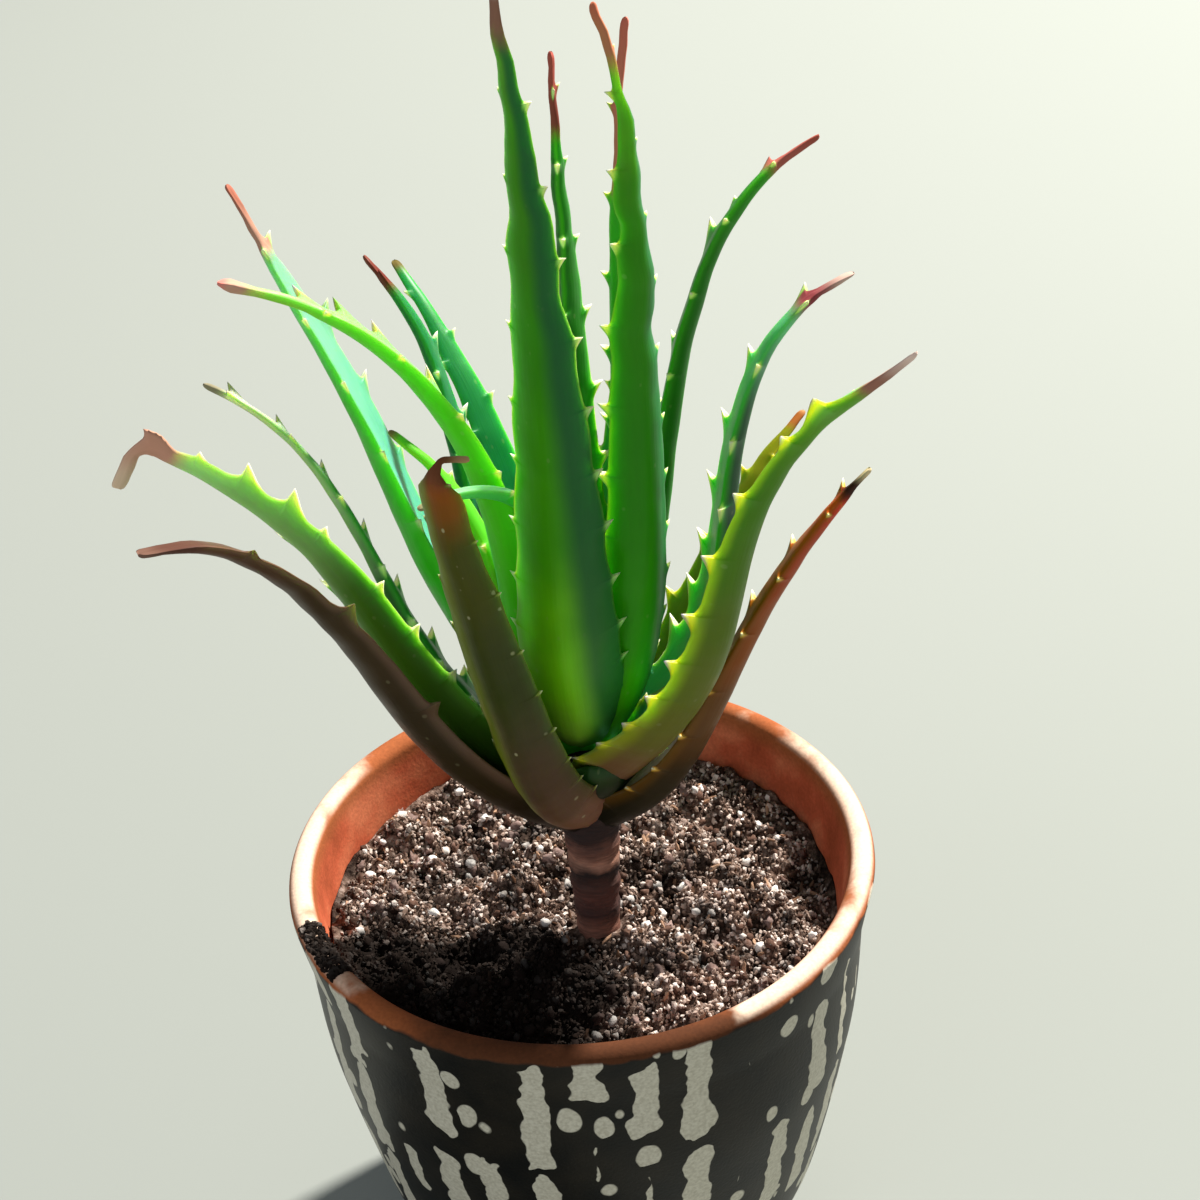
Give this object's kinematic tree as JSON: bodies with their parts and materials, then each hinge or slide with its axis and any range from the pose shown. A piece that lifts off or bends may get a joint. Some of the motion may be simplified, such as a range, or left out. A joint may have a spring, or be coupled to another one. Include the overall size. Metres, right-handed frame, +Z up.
{
  "type": "potted aloe plant",
  "caption": "Aloe with a loose rosette of long toothed leaves on a short bare stem, growing in potting mix in a tapered round clay pot.",
  "frame": {"origin": "middle of the flat underside of the pot, which stands on the surface", "axes": "+Z up along the axis of the pot, +X to the right and -Y towards the viewer as in the picture"},
  "size_m": [0.1712, 0.15, 0.3755],
  "materials": {
    "terracotta": "matt fired clay, dark glaze with pale runs outside",
    "soil": "damp crumbly potting mix with pale grit",
    "stem": "matt ringed bark",
    "green": "waxy fresh green",
    "lime": "waxy yellow green",
    "dark": "waxy dark green",
    "olive": "waxy olive, pale flecks",
    "russet": "waxy red brown to olive",
    "brown": "dull brown, drying"
  },
  "bodies": {
    "root": {"pot": "terracotta", "soil": "soil", "trunk": "stem", "leaf_01": "brown", "leaf_02": "russet", "leaf_03": "olive", "leaf_04": "lime", "leaf_05": "green", "leaf_06": "olive", "leaf_07": "dark", "leaf_08": "lime", "leaf_09": "green", "leaf_10": "dark", "leaf_11": "green", "leaf_12": "lime", "leaf_13": "dark", "leaf_14": "dark", "leaf_15": "dark", "leaf_16": "dark", "leaf_17": "dark", "leaf_18": "green", "leaf_19": "green", "leaf_20": "green", "leaf_21": "dark"}
  },
  "joints": []
}
